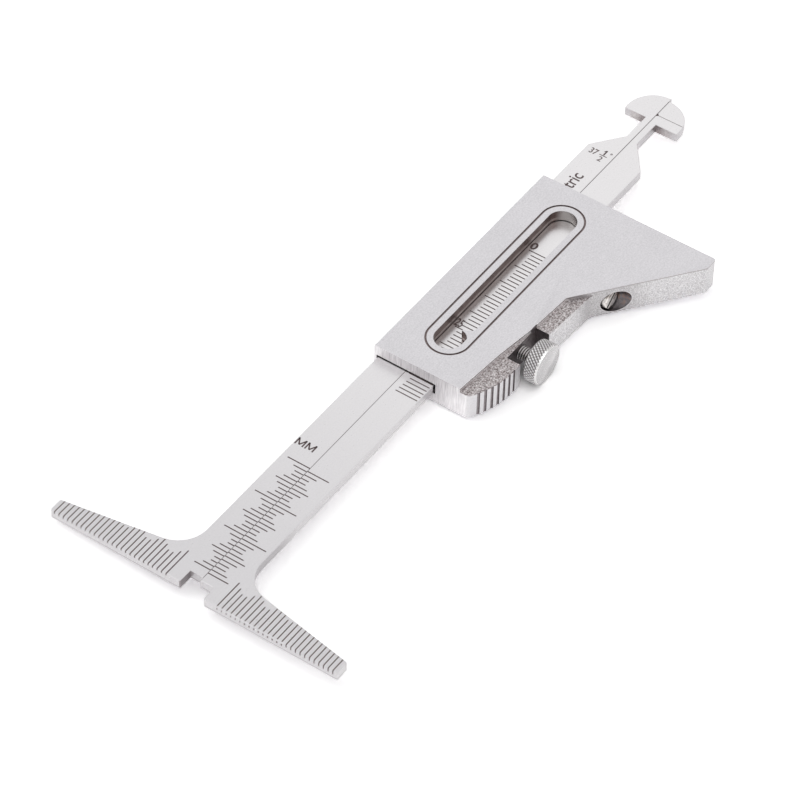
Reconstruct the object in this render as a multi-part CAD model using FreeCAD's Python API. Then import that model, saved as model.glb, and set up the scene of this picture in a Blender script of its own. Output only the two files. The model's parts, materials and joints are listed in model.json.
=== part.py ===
import FreeCAD, Part
import math
import os

# All sizes in millimetres. +X runs along the blades towards the hooks, +Z out of the front face.
# The origin is on the bottom face, under the joint line of the blades, at the middle of the housing.

# Blades
BLADE_WIDTH = 6.3
BLADE_THICKNESS = 2.0
BLADE_JOINT_GAP = 0.04
BLADE_FLOOR_CLEARANCE = 0.05
BLADE_ROOF_CLEARANCE = 0.15
LEFT_EDGE_CLEARANCE = 0.05
RIGHT_EDGE_CLEARANCE = 0.25

# Hook end of a blade, measured from the underside of the hook
HOOK_HEIGHT = 7.4
HOOK_TIP_FLAT = 0.1
HOOK_UNDERSIDE_ROUNDING = 0.25
NECK_HALF_WIDTH = 1.45
NECK_LENGTH = 6.7
NECK_ROOT_ROUNDING = 0.6
SHOULDER_ANGLE = 37.5
SHOULDER_ROUNDING = 0.7

# Wing end of a blade
UNDERSIDE_TO_WING_FRONT = 150.08
WING_HALF_SPAN = 31.9
WING_TIP_WIDTH = 3.05
WING_TAPER_ANGLE = 9.66
WING_ROOT_ROUNDING = 6.4
WING_CORNER_ROUNDING = 0.4
FRONT_NOTCH_WIDTH = 2.85
FRONT_NOTCH_DEPTH = 3.12

# Where the two blades stand in the housing
READING = 27.15
LEFT_BLADE_LEAD = 0.8

# Housing walls
HOUSING_LENGTH = 56.5
BOTTOM_WALL = 2.1
TOP_WALL = 2.4
SIDE_WALL = 0.83
SIDE_EDGE_ROUNDING = 0.3

# Outline of the thick slab on the gripping side, as distances from the joint line
SLAB_END_REACH = 12.0
SLAB_WAIST_REACH = 12.9
SLAB_WAIST_FROM_END = 11.0
SLAB_GRIP_REACH = 14.2
SLAB_TAPER_LENGTH = 20.95
SLAB_FLANK_REACH = 14.85
TIP_REACH = 32.1
TIP_FLAT = 2.92
FLANK_ANGLE = 37.5
TIP_ROUNDING = 0.35

# Ledge that the fingers hold
LEDGE_DROP = 0.9
LEDGE_REACH = 17.15
LEDGE_FLANK_REACH = 17.95
LEDGE_FLANK_ROUNDING = 3.0
LEDGE_ARC_RADIUS = 18.0
LEDGE_ARC_FROM_END = 10.25
LEDGE_CORNER_ROUNDING = 1.0
GRIP_GROOVE_COUNT = 7
GRIP_GROOVE_PITCH = 1.49
GRIP_GROOVE_WIDTH = 0.65
GRIP_GROOVE_DEPTH = 0.6
GRIP_FIRST_GROOVE_OFFSET = 0.12

# Window with its engraved outline and index nib
WINDOW_FROM_END = 6.75
WINDOW_FROM_FOOT = 5.75
WINDOW_WIDTH = 5.84
WINDOW_SHIFT_Y = -2.92
OUTLINE_OFFSET = 1.45
OUTLINE_WIDTH = 0.34
OUTLINE_DEPTH = 0.15
NIB_FROM_WINDOW_END = 6.0
NIB_REACH = 2.0
NIB_BASE_WIDTH = 2.9
NIB_TIP_WIDTH = 0.24
NIB_WAIST = 0.42

# Thumb screw, its notch and the pad it pushes
THUMB_FROM_END = 17.2
THUMB_AXIS_Z = 3.4
NOTCH_LENGTH = 9.7
NOTCH_WALL_REACH = 14.15
THREAD_DIAMETER = 3.0
THREAD_RADIAL_FIT = 0.05
THUMB_HEAD_DIAMETER = 8.5
THUMB_HEAD_LENGTH = 2.9
THUMB_HEAD_BEVEL = 0.35
THUMB_HEAD_GAP = 0.1
PAD_RADIAL_FIT = 0.1
PAD_LENGTH = 3.0
PAD_SCREW_GAP = 0.02
BLADE_TOUCH_GAP = 0.02

# Drag screw, spring and plunger
DRAG_FROM_FOOT = 17.35
DRAG_AXIS_Z = 2.92
DRAG_BORE_DIAMETER = 5.0
DRAG_RADIAL_FIT = 0.05
DRAG_SCREW_LENGTH = 5.0
DRAG_SCREW_FACE_REACH = 20.4
DRAG_SLOT_WIDTH = 0.8
DRAG_SLOT_DEPTH = 1.0
DRAG_SLOT_ANGLE = 41.4
DRAG_PLUNGER_LENGTH = 3.0
SPRING_OUTER_DIAMETER = 4.0
SPRING_WIRE = 0.5
SPRING_TURNS = 4.5
SPRING_STEPS_PER_TURN = 16
SPRING_END_GAP = 0.02

# Derived heights
SLOT_HEIGHT = BLADE_FLOOR_CLEARANCE + BLADE_THICKNESS + BLADE_ROOF_CLEARANCE
SLOT_FLOOR = BOTTOM_WALL
SLOT_ROOF = BOTTOM_WALL + SLOT_HEIGHT
BLADE_BOTTOM = SLOT_FLOOR + BLADE_FLOOR_CLEARANCE
HOUSING_HEIGHT = SLOT_ROOF + TOP_WALL
LEDGE_TOP = HOUSING_HEIGHT - LEDGE_DROP

# Derived positions along the blades
HOUSING_END = -HOUSING_LENGTH / 2
HOUSING_FOOT = HOUSING_LENGTH / 2
THUMB_X = HOUSING_END + THUMB_FROM_END
DRAG_X = HOUSING_FOOT - DRAG_FROM_FOOT
WINDOW_LENGTH = HOUSING_LENGTH - WINDOW_FROM_END - WINDOW_FROM_FOOT
WINDOW_SHIFT_X = (WINDOW_FROM_END - WINDOW_FROM_FOOT) / 2

# Derived bore for the thumb screw and its pad
THUMB_HOLE_DIAMETER = THREAD_DIAMETER + 2 * THREAD_RADIAL_FIT

# Derived rise of the flank across the blades for each millimetre along them
FLANK_SLOPE = math.tan(math.radians(FLANK_ANGLE))

# Derived positions across the blades
BLADE_EDGE = BLADE_JOINT_GAP / 2 + BLADE_WIDTH
SLOT_LEFT = BLADE_EDGE + LEFT_EDGE_CLEARANCE
SLOT_RIGHT = -BLADE_EDGE - RIGHT_EDGE_CLEARANCE
HOUSING_SIDE = SLOT_LEFT + SIDE_WALL

# Cutting tools reach this far past the faces they open
OVERCUT = 1.0


def rounded_wire(corners):
    """Closed flat wire through corners given as (x, y, rounding)."""
    points = [FreeCAD.Vector(x, y, 0) for x, y, _ in corners]
    pieces = []
    for index, (_, _, rounding) in enumerate(corners):
        here = points[index]
        if rounding == 0:
            pieces.append((here, None, here))
            continue
        back = (points[index - 1] - here).normalize()
        ahead = (points[(index + 1) % len(points)] - here).normalize()
        half_angle = back.getAngle(ahead) / 2
        inward = (back + ahead).normalize()
        reach = rounding / math.tan(half_angle)
        middle = here + inward * (rounding / math.sin(half_angle) - rounding)
        pieces.append((here + back * reach, middle, here + ahead * reach))
    edges = []
    for index, (start, middle, end) in enumerate(pieces):
        if middle is not None:
            edges.append(Part.Arc(start, middle, end).toShape())
        edges.append(Part.makeLine(end, pieces[(index + 1) % len(pieces)][0]))
    return Part.Wire(edges)


def prism(wire, bottom, top):
    """Solid that stands on a flat wire, from the bottom height to the top height."""
    solid = Part.Face(wire).extrude(FreeCAD.Vector(0, 0, top - bottom))
    solid.translate(FreeCAD.Vector(0, 0, bottom))
    return solid


def block(x_span, y_span, z_span):
    """Box between two limits on each axis."""
    size = [span[1] - span[0] for span in (x_span, y_span, z_span)]
    return Part.makeBox(*size, FreeCAD.Vector(x_span[0], y_span[0], z_span[0]))


def rod_along_y(x, z, diameter, y_start, y_end):
    """Round rod between two positions across the blades."""
    base = FreeCAD.Vector(x, min(y_start, y_end), z)
    return Part.makeCylinder(diameter / 2, abs(y_end - y_start), base, FreeCAD.Vector(0, 1, 0))


def thumb_rod(diameter, y_start, y_end):
    """Round rod on the thumb screw's axis."""
    return rod_along_y(THUMB_X, THUMB_AXIS_Z, diameter, y_start, y_end)


def drag_rod(diameter, y_start, y_end):
    """Round rod on the drag screw's axis."""
    return rod_along_y(DRAG_X, DRAG_AXIS_Z, diameter, y_start, y_end)


def stadium(length, width):
    """Long hole outline around the middle of the window."""
    left = WINDOW_SHIFT_X - length / 2 + width / 2
    right = WINDOW_SHIFT_X + length / 2 - width / 2
    upper = WINDOW_SHIFT_Y + width / 2
    lower = WINDOW_SHIFT_Y - width / 2
    edges = [
        Part.makeLine(FreeCAD.Vector(left, lower, 0), FreeCAD.Vector(right, lower, 0)),
        Part.Arc(
            FreeCAD.Vector(right, lower, 0),
            FreeCAD.Vector(right + width / 2, WINDOW_SHIFT_Y, 0),
            FreeCAD.Vector(right, upper, 0),
        ).toShape(),
        Part.makeLine(FreeCAD.Vector(right, upper, 0), FreeCAD.Vector(left, upper, 0)),
        Part.Arc(
            FreeCAD.Vector(left, upper, 0),
            FreeCAD.Vector(left - width / 2, WINDOW_SHIFT_Y, 0),
            FreeCAD.Vector(left, lower, 0),
        ).toShape(),
    ]
    return Part.Wire(edges)


def flank_x(reach):
    """Position along the blades where the flank is this far from the joint line."""
    tip_corner = HOUSING_FOOT - TIP_FLAT
    return tip_corner - (TIP_REACH - reach) / FLANK_SLOPE


def slab():
    """Thick slab of the housing, from the side wall to the pointed foot."""
    corners = [
        (HOUSING_END, HOUSING_SIDE, 0),
        (HOUSING_END, -SLAB_END_REACH, 0),
        (HOUSING_END + SLAB_WAIST_FROM_END, -SLAB_WAIST_REACH, 0),
        (HOUSING_END + SLAB_TAPER_LENGTH, -SLAB_GRIP_REACH, 0),
        (flank_x(SLAB_FLANK_REACH), -SLAB_FLANK_REACH, 0),
        (flank_x(TIP_REACH), -TIP_REACH, TIP_ROUNDING),
        (HOUSING_FOOT, -TIP_REACH, TIP_ROUNDING),
        (HOUSING_FOOT, HOUSING_SIDE, 0),
    ]
    return prism(rounded_wire(corners), 0, HOUSING_HEIGHT)


def ledge_arc_centre():
    """Centre of the rounded gripping edge."""
    return FreeCAD.Vector(HOUSING_END + LEDGE_ARC_FROM_END, LEDGE_ARC_RADIUS - LEDGE_REACH, 0)


def ledge():
    """Lower gripping ledge, with a rounded edge near the end of the housing."""
    centre = ledge_arc_centre()
    end_reach = math.sqrt(LEDGE_ARC_RADIUS ** 2 - LEDGE_ARC_FROM_END ** 2) - centre.y
    half_turn = math.asin(LEDGE_ARC_FROM_END / LEDGE_ARC_RADIUS) / 2
    middle = centre + FreeCAD.Vector(
        -LEDGE_ARC_RADIUS * math.sin(half_turn),
        -LEDGE_ARC_RADIUS * math.cos(half_turn),
        0,
    )
    corners = [
        FreeCAD.Vector(HOUSING_END, SLOT_RIGHT, 0),
        FreeCAD.Vector(HOUSING_END, -end_reach, 0),
        FreeCAD.Vector(centre.x, -LEDGE_REACH, 0),
        FreeCAD.Vector(THUMB_X + NOTCH_LENGTH / 2, -LEDGE_REACH, 0),
        FreeCAD.Vector(flank_x(LEDGE_FLANK_REACH), -LEDGE_FLANK_REACH, 0),
        FreeCAD.Vector(DRAG_X, -TIP_REACH + (flank_x(TIP_REACH) - DRAG_X) * FLANK_SLOPE, 0),
        FreeCAD.Vector(DRAG_X, SLOT_RIGHT, 0),
    ]
    edges = [Part.makeLine(corners[0], corners[1])]
    edges.append(Part.Arc(corners[1], middle, corners[2]).toShape())
    edges.extend(Part.makeLine(*pair) for pair in zip(corners[2:-1], corners[3:]))
    edges.append(Part.makeLine(corners[-1], corners[0]))
    solid = prism(Part.Wire(edges), 0, LEDGE_TOP)
    end_edges = [edge for edge in solid.Edges if is_upright_at(edge, corners[1])]
    solid = solid.makeFillet(LEDGE_CORNER_ROUNDING, end_edges)
    flank_edges = [edge for edge in solid.Edges if is_upright_at(edge, corners[4])]
    return solid.makeFillet(LEDGE_FLANK_ROUNDING, flank_edges)


def is_upright_at(edge, place):
    """Whether an edge stands upright over a place in plan."""
    ends = [vertex.Point for vertex in edge.Vertexes]
    return len(ends) == 2 and all(math.hypot(end.x - place.x, end.y - place.y) < 0.01 for end in ends)


def grip_grooves():
    """Upright grooves across the rounded gripping edge."""
    centre = ledge_arc_centre()
    grooves = []
    for index in range(GRIP_GROOVE_COUNT):
        turn = (GRIP_FIRST_GROOVE_OFFSET - index * GRIP_GROOVE_PITCH) / LEDGE_ARC_RADIUS
        groove = block(
            (centre.x - GRIP_GROOVE_WIDTH / 2, centre.x + GRIP_GROOVE_WIDTH / 2),
            (-LEDGE_REACH - OVERCUT, -LEDGE_REACH + GRIP_GROOVE_DEPTH),
            (-OVERCUT, LEDGE_TOP + OVERCUT),
        )
        groove.rotate(centre, FreeCAD.Vector(0, 0, 1), math.degrees(turn))
        grooves.append(groove)
    return grooves


def nib():
    """Index nib on the window edge, with hollow sides and a narrow tip."""
    x = WINDOW_SHIFT_X - WINDOW_LENGTH / 2 + NIB_FROM_WINDOW_END
    edge = WINDOW_SHIFT_Y - WINDOW_WIDTH / 2
    half_base = NIB_BASE_WIDTH / 2
    half_tip = NIB_TIP_WIDTH / 2
    root = OVERCUT / 2
    points = [
        FreeCAD.Vector(x - half_base, edge - root, 0),
        FreeCAD.Vector(x + half_base, edge - root, 0),
        FreeCAD.Vector(x + half_base, edge, 0),
        FreeCAD.Vector(x + half_tip, edge + NIB_REACH, 0),
        FreeCAD.Vector(x - half_tip, edge + NIB_REACH, 0),
        FreeCAD.Vector(x - half_base, edge, 0),
    ]
    right_waist = FreeCAD.Vector(x + NIB_WAIST, edge + NIB_REACH / 2, 0)
    left_waist = FreeCAD.Vector(x - NIB_WAIST, edge + NIB_REACH / 2, 0)
    edges = [
        Part.makeLine(points[0], points[1]),
        Part.makeLine(points[1], points[2]),
        Part.Arc(points[2], right_waist, points[3]).toShape(),
        Part.makeLine(points[3], points[4]),
        Part.Arc(points[4], left_waist, points[5]).toShape(),
        Part.makeLine(points[5], points[0]),
    ]
    return prism(Part.Wire(edges), SLOT_ROOF, HOUSING_HEIGHT)


def engraved_outline():
    """Shallow groove that follows the window at a constant distance."""
    bottom = HOUSING_HEIGHT - OUTLINE_DEPTH
    top = HOUSING_HEIGHT + OVERCUT
    outer_growth = 2 * OUTLINE_OFFSET + OUTLINE_WIDTH
    inner_growth = 2 * OUTLINE_OFFSET - OUTLINE_WIDTH
    outer = prism(stadium(WINDOW_LENGTH + outer_growth, WINDOW_WIDTH + outer_growth), bottom, top)
    inner = prism(stadium(WINDOW_LENGTH + inner_growth, WINDOW_WIDTH + inner_growth), bottom, top)
    return outer.cut(inner)


def housing():
    """Machined body with the blade slot, window, ledge, notch and screw holes."""
    body = slab().fuse(ledge()).removeSplitter()
    side_edges = [edge for edge in body.Edges if is_long_side_edge(edge)]
    body = body.makeFillet(SIDE_EDGE_ROUNDING, side_edges)
    past_ends = (HOUSING_END - OVERCUT, HOUSING_FOOT + OVERCUT)
    slot = block(past_ends, (SLOT_RIGHT, SLOT_LEFT), (SLOT_FLOOR, SLOT_ROOF))
    window = prism(stadium(WINDOW_LENGTH, WINDOW_WIDTH), SLOT_ROOF, HOUSING_HEIGHT + OVERCUT)
    notch = block(
        (THUMB_X - NOTCH_LENGTH / 2, THUMB_X + NOTCH_LENGTH / 2),
        (-LEDGE_REACH - OVERCUT, -NOTCH_WALL_REACH),
        (-OVERCUT, HOUSING_HEIGHT + OVERCUT),
    )
    thumb_hole = thumb_rod(THUMB_HOLE_DIAMETER, -BLADE_EDGE, -LEDGE_REACH)
    drag_bore = drag_rod(DRAG_BORE_DIAMETER, -BLADE_EDGE, -TIP_REACH)
    cuts = [slot, window, notch, thumb_hole, drag_bore, engraved_outline()] + grip_grooves()
    return body.cut(Part.makeCompound(cuts)).fuse(nib()).removeSplitter()


def is_long_side_edge(edge):
    """Whether an edge runs along the plain side of the housing."""
    box = edge.BoundBox
    return box.YMin > HOUSING_SIDE - 0.01 and box.XLength > HOUSING_LENGTH - 0.01


def right_blade():
    """Blade with half a hook at one end and one wing of the T at the other."""
    underside = HOUSING_FOOT + READING
    hook_tip = underside + HOOK_HEIGHT
    inner = -BLADE_JOINT_GAP / 2
    outer = inner - BLADE_WIDTH
    neck = -NECK_HALF_WIDTH
    neck_start = underside - NECK_LENGTH
    shoulder = neck_start - (neck - outer) / math.tan(math.radians(SHOULDER_ANGLE))
    wing_front = underside - UNDERSIDE_TO_WING_FRONT
    wing_back = wing_front + WING_TIP_WIDTH
    taper = math.tan(math.radians(WING_TAPER_ANGLE))
    wing_root = wing_back + (WING_HALF_SPAN + outer) * taper
    notch_floor = wing_front + FRONT_NOTCH_DEPTH
    corners = [
        (notch_floor, inner, 0),
        (notch_floor, -FRONT_NOTCH_WIDTH, 0),
        (wing_front, -FRONT_NOTCH_WIDTH, WING_CORNER_ROUNDING),
        (wing_front, -WING_HALF_SPAN, WING_CORNER_ROUNDING),
        (wing_back, -WING_HALF_SPAN, WING_CORNER_ROUNDING),
        (wing_root, outer, WING_ROOT_ROUNDING),
        (shoulder, outer, SHOULDER_ROUNDING),
        (neck_start, neck, NECK_ROOT_ROUNDING),
        (underside, neck, 0),
        (underside, outer, HOOK_UNDERSIDE_ROUNDING),
        (hook_tip, outer, BLADE_WIDTH - HOOK_TIP_FLAT),
        (hook_tip, inner, 0),
    ]
    return prism(rounded_wire(corners), BLADE_BOTTOM, BLADE_BOTTOM + BLADE_THICKNESS)


def left_blade():
    """The same blade mirrored at the joint line and standing a little further out."""
    blade = right_blade().mirror(FreeCAD.Vector(0, 0, 0), FreeCAD.Vector(0, 1, 0))
    blade.translate(FreeCAD.Vector(LEFT_BLADE_LEAD, 0, 0))
    return blade


def pad_faces():
    """Positions of the blade side and the screw side of the clamp pad."""
    blade_side = -BLADE_EDGE - BLADE_TOUCH_GAP
    return blade_side, blade_side - PAD_LENGTH


def clamp_pad():
    """Short round pad between the thumb screw and the blade."""
    blade_side, screw_side = pad_faces()
    return thumb_rod(THUMB_HOLE_DIAMETER - 2 * PAD_RADIAL_FIT, blade_side, screw_side)


def thumb_screw():
    """Round head with bevelled rims on a shank that reaches the clamp pad."""
    shank_end = pad_faces()[1] - PAD_SCREW_GAP
    head_inner = -LEDGE_REACH - THUMB_HEAD_GAP
    head_outer = head_inner - THUMB_HEAD_LENGTH
    head = thumb_rod(THUMB_HEAD_DIAMETER, head_inner, head_outer)
    head = head.makeChamfer(THUMB_HEAD_BEVEL, [edge for edge in head.Edges if is_rim(edge)])
    shank = thumb_rod(THREAD_DIAMETER, shank_end, head_inner)
    return head.fuse(shank).removeSplitter()


def is_rim(edge):
    """Whether an edge is a full circle."""
    return isinstance(edge.Curve, Part.Circle)


def drag_screw():
    """Slotted set screw in the flank."""
    outer = -DRAG_SCREW_FACE_REACH
    diameter = DRAG_BORE_DIAMETER - 2 * DRAG_RADIAL_FIT
    screw = drag_rod(diameter, outer, outer + DRAG_SCREW_LENGTH)
    slot = block(
        (DRAG_X - diameter, DRAG_X + diameter),
        (outer - OVERCUT, outer + DRAG_SLOT_DEPTH),
        (DRAG_AXIS_Z - DRAG_SLOT_WIDTH / 2, DRAG_AXIS_Z + DRAG_SLOT_WIDTH / 2),
    )
    slot.rotate(FreeCAD.Vector(DRAG_X, 0, DRAG_AXIS_Z), FreeCAD.Vector(0, -1, 0), DRAG_SLOT_ANGLE)
    return screw.cut(slot)


def plunger_faces():
    """Positions of the blade side and the spring side of the plunger."""
    blade_side = -BLADE_EDGE - BLADE_TOUCH_GAP
    return blade_side, blade_side - DRAG_PLUNGER_LENGTH


def drag_plunger():
    """Round plunger that the spring holds against the blade edge."""
    blade_side, spring_side = plunger_faces()
    return drag_rod(DRAG_BORE_DIAMETER - 2 * DRAG_RADIAL_FIT, blade_side, spring_side)


def drag_spring():
    """Coil spring between the set screw and the plunger."""
    spring_side = plunger_faces()[1]
    screw_end = -DRAG_SCREW_FACE_REACH + DRAG_SCREW_LENGTH
    coil_height = spring_side - screw_end - SPRING_WIRE - 2 * SPRING_END_GAP
    coil_radius = (SPRING_OUTER_DIAMETER - SPRING_WIRE) / 2
    coil_start = screw_end + SPRING_END_GAP + SPRING_WIRE / 2
    steps = round(SPRING_TURNS * SPRING_STEPS_PER_TURN)
    points = []
    for index in range(steps + 1):
        turn = 2 * math.pi * SPRING_TURNS * index / steps
        points.append(
            FreeCAD.Vector(
                DRAG_X + coil_radius * math.cos(turn),
                coil_start + coil_height * index / steps,
                DRAG_AXIS_Z + coil_radius * math.sin(turn),
            )
        )
    path = Part.BSplineCurve()
    path.interpolate(points)
    tangent = path.tangent(path.FirstParameter)[0]
    section = Part.Wire([Part.makeCircle(SPRING_WIRE / 2, points[0], tangent)])
    return Part.Wire([path.toShape()]).makePipeShell([section], True, True)


NODES = {
    "housing": housing,
    "left_blade": left_blade,
    "right_blade": right_blade,
    "thumb_screw": thumb_screw,
    "clamp_pad": clamp_pad,
    "drag_screw": drag_screw,
    "drag_spring": drag_spring,
    "drag_plunger": drag_plunger,
}

os.makedirs("parts", exist_ok=True)
for name, make in NODES.items():
    make().exportStep("parts/" + name + ".step")
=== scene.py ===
import json
import math

import bmesh
import bpy
from mathutils import Matrix, Vector

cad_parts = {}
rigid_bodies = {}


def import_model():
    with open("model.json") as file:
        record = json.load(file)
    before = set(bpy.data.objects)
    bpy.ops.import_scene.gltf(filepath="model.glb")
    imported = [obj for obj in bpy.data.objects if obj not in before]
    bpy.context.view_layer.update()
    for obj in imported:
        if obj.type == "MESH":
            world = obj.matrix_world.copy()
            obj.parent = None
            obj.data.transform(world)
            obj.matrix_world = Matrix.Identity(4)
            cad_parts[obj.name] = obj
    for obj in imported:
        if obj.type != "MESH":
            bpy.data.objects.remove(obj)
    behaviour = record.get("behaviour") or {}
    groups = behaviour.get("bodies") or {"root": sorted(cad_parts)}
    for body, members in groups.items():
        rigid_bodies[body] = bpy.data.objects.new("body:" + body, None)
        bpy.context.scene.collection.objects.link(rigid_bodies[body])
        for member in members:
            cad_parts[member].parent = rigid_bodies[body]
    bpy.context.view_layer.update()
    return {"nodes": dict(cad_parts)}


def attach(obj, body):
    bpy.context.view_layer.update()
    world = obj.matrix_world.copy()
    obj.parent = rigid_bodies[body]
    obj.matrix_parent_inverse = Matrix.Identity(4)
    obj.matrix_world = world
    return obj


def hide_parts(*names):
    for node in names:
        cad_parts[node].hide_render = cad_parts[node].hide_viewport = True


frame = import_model()

# Lengths below are in millimetres, and MM turns them into metres.
# Only the lamps' places, sizes and aims are written in metres.
MM = 0.001

# Meshes
WELD_DISTANCE = 0.0005
SHARP_EDGE = math.radians(40)

# Blades
BLADE_TOP = 4.15
BLADE_THICKNESS = 2.0
JOINT_HALF_GAP = 0.02
WING_HALF_SPAN = 31.9
WING_TIP_WIDTH = 3.05
WING_TAPER = math.tan(math.radians(9.66))
RIGHT_WING_FRONT = -94.68
LEFT_BLADE_LEAD = 0.8
WINGS_FINISH = -90.0
WING_NOTCH_FINISH = -87.5
WING_NOTCH_HALF_WIDTH = 4.5
FILLET_FINISH = -74.0
HOOKS_START = 50.0
HOOK_THROAT = 4.9
BLADE_SIDE = 6.2
EDGE_ROUNDING = 0.14
FRONT_SETBACK = 0.013

# Housing
FRONT_TOP = 6.7
LEDGE_TOP = 5.8
HOUSING_END = -28.25
SLOT_LOW = 2.0
SLOT_HIGH = 4.4
SLOT_RIGHT = -6.75
SLOT_LEFT = 6.55
SLOT_MOUTH_RIGHT = -6.62
SLOT_MOUTH_LEFT = 6.65
WINDOW_LEFT = -18.58
WINDOW_RIGHT = 19.58
WINDOW_Y = -2.92
WINDOW_RADIUS = 2.92
WINDOW_BOTTOM = 1.5
WALL_STREAK = (4.6, 5.0)
OUTLINE_RADIUS = 4.37
OUTLINE_HALF_WIDTH = 0.17
ETCHED_HALF_WIDTH = 0.21
NOTCH_START = -15.9
NOTCH_FINISH = -6.2
NOTCH_WALL = -14.15
NOTCH_FRONT = -17.1
GRIP_CENTRE = (-18.0, 0.85)
GRIP_RADIUS = 18.0
GRIP_START = -26.95
GROOVE_LIMIT = -27.5
GRIP_FACES_Y = -13.5
GRIP_GROOVE_DEPTH = 0.6
SHALLOW_GROOVE = 0.22
STEP_FINISH = 3.2
STEP_ROUNDING = 0.3
RIM_ROUNDING = 0.1
LEDGE_ROUNDING = 0.05

# Thumb screw
THUMB_X = -11.05
THUMB_Z = 3.4
HEAD_RADIUS = 4.24
HEAD_INNER = -17.25
HEAD_OUTER = -20.15
HEAD_STEPS = 40
RIM = 0.36
RIM_GLINT = math.radians(115)
RIM_GLINT_REACH = math.radians(22)
INNER_RIM = 0.15
KNURLS = 38
KNURL_POINTS = 8
KNURL_DEPTH = 0.2
KNURL_STEEPNESS = 3.8
KNURL_AXIAL_PITCH = 0.85
KNURL_SHALLOW_SHARE = 0.7
THREAD_RADIUS = 1.5
THREAD_DEPTH = 0.32
THREAD_PITCH = 0.5
THREAD_RUN_OUT = 0.3
SHANK_SINK = 0.1
SHANK_END = -9.36
SHANK_STEPS = 160
SHANK_POINTS = 40

# Drag screw
DRAG_X = 10.9
DRAG_Z = 2.92
DRAG_BORE_RADIUS = 2.5
DRAG_BORE_END = -8.0
DARKER_BY_BORE = (4.0, 14.5)
RUST_START = 12.7
DRAG_SLOT_TURN = math.radians(41.4)
DRAG_SLOT_DEPTH = 1.3
DRAG_SLOT_HALF_WIDTH = 0.43
DRAG_FACE = -20.1
DRAG_SET_IN = 0.3
NECK_START = -18.3
NECK_SLOPE = 0.15
NECK_RADIUS = 2.0

# Etched marks. A line's length is counted from its scale's edge or joint.
MARK_RISE = 0.012
MARK_SINK = 0.02
TICK_WIDTH = 0.23
WING_TICK_LENGTHS = (6.7, 5.75, 4.8, 4.8, 5.75)
WING_TICK_COUNT = 26
WING_TICK_MARGIN = 0.12
WING_TICK_DROP = 0.3
RIGHT_TIP_DROP = 0.8
LEFT_TIP_DROP = 0.45
BEND_STEPS = 4
BROKEN_TICK_START = 12
BROKEN_TICK_SETBACK = 0.11
BROKEN_TICK_TOP = 0.48
BROKEN_TICK_BOTTOM = 0.92
BROKEN_TICK_HALF_WIDTH = 0.15
FAINT_TICK_START = 21
FAINT_TICK_HALF_WIDTH = 0.1
FINE_LENGTHS = (5.0, 3.0, 2.0, 2.0, 3.0, 4.0, 3.0, 2.0, 2.0, 3.0)
FINE_COUNT = 30
FINE_SHIFT_COUNT = 20
DEPTH_ZERO_X = 11.63
DEPTH_LINES = 46
DEPTH_LONG_START = -0.8
DEPTH_SHORT_START = -1.8
DEPTH_FINISH = -6.1
DEPTH_LAST_SHORT = 40
DEPTH_LAST_GROWTH = 0.57
LETTER_M = ((0.0, 0.0), (0.0, 1.0), (0.5, 0.12), (1.0, 1.0), (1.0, 0.0))
LETTER_M_FOOT, LETTER_M_HEAD = -55.12, -53.38
LETTER_M_STARTS = (5.96, 3.74)
LETTER_M_WIDTH = 1.62
LETTER_M_STROKE = 0.3
DEGREE_CENTRE = (43.16, 0.96)
DEGREE_RADIUS = 0.17
DEGREE_POINTS = 12
DEGREE_STROKE = 0.13

# Strokes of the one and the bar in 37 1/2, and the right hook's line: start, end, width
HALF_STROKES = (
    ((42.05, 2.12), (43.5, 2.12), 0.3),
    ((43.42, 2.1), (43.02, 2.52), 0.2),
    ((41.85, 2.95), (41.85, 1.25), 0.17),
)
HOOK_STROKE = ((57.95, -0.05), (57.95, -6.0), 0.1)
HOOK_NICK = ((57.6, -0.04), (57.95, -0.55), (58.5, -0.04))

# Camera, fitted to the scales' lines in the photograph
CAMERA_HEADING = math.radians(33.80)
CAMERA_DOWN = math.radians(46.62)
CAMERA_ROLL = math.radians(1.60)
CAMERA_TARGET = (-35.0, -3.38, 4.15)
CAMERA_DISTANCE = 768.0
FOCAL_PIXELS = 4179.0
IMAGE_PIXELS = 800
SENSOR = 36.0

# Floor. CORNER_SHADE is the middle of a painted shadow in the corner between the ledge, the notch
# and the thumb screw's head, where the floor is darkest.
FLOOR_REACH = 3000.0
FLOOR_TILT = 0.0315
FLOOR_REST_Y = 7.2
FLOOR_GAP = 0.02
FLOOR_GLOW = 0.02
FLOOR_PAPER = 0.8
FLOOR_TONE = 1.85
CORNER_SHADE = (-11.3, -15.0, -0.7)
CORNER_SHADE_REACH = 5.0
CORNER_SHADE_LEVEL = 0.3

# Surround and lamps: name, place, aim, size, power
WORLD_HORIZON = 0.22
WORLD_OVERHEAD = 0.7
WORLD_STEEPNESS = 3.0
WORLD_MIRRORED = 0.9
LAMPS = (
    ("key", (-0.35, 0.75, 1.1), (0, 0, 0), 0.9, 2.0),
    ("far_fill", (0.46, 0.27, 0.51), (0.05, 0, 0), 0.45, 0.11),
    ("near_fill", (0.1, -0.86, 0.42), (0, 0, 0), 0.45, 0.6),
    ("edge_light", (-0.62, -0.34, 0.72), (0, 0, 0), 0.16, 0.15),
)


# ------------ colours

def linear(level):
    """One display colour level, 0 to 255, as the light it stands for."""
    share = level / 255
    return share / 12.92 if share <= 0.04045 else ((share + 0.055) / 1.055) ** 2.4


def rgb(red, green, blue):
    """Display colour, 0 to 255 each, as a shader colour."""
    return (linear(red), linear(green), linear(blue), 1.0)


def shade(colour, share):
    """Colour made darker or lighter by a share."""
    return tuple(channel * share for channel in colour[:3]) + (1.0,)


# ------------ shader nodes

def feed(tree, socket, value):
    """Puts a number, a colour or another node's output into a socket."""
    if isinstance(value, bpy.types.NodeSocket):
        tree.links.new(value, socket)
    else:
        socket.default_value = value


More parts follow.
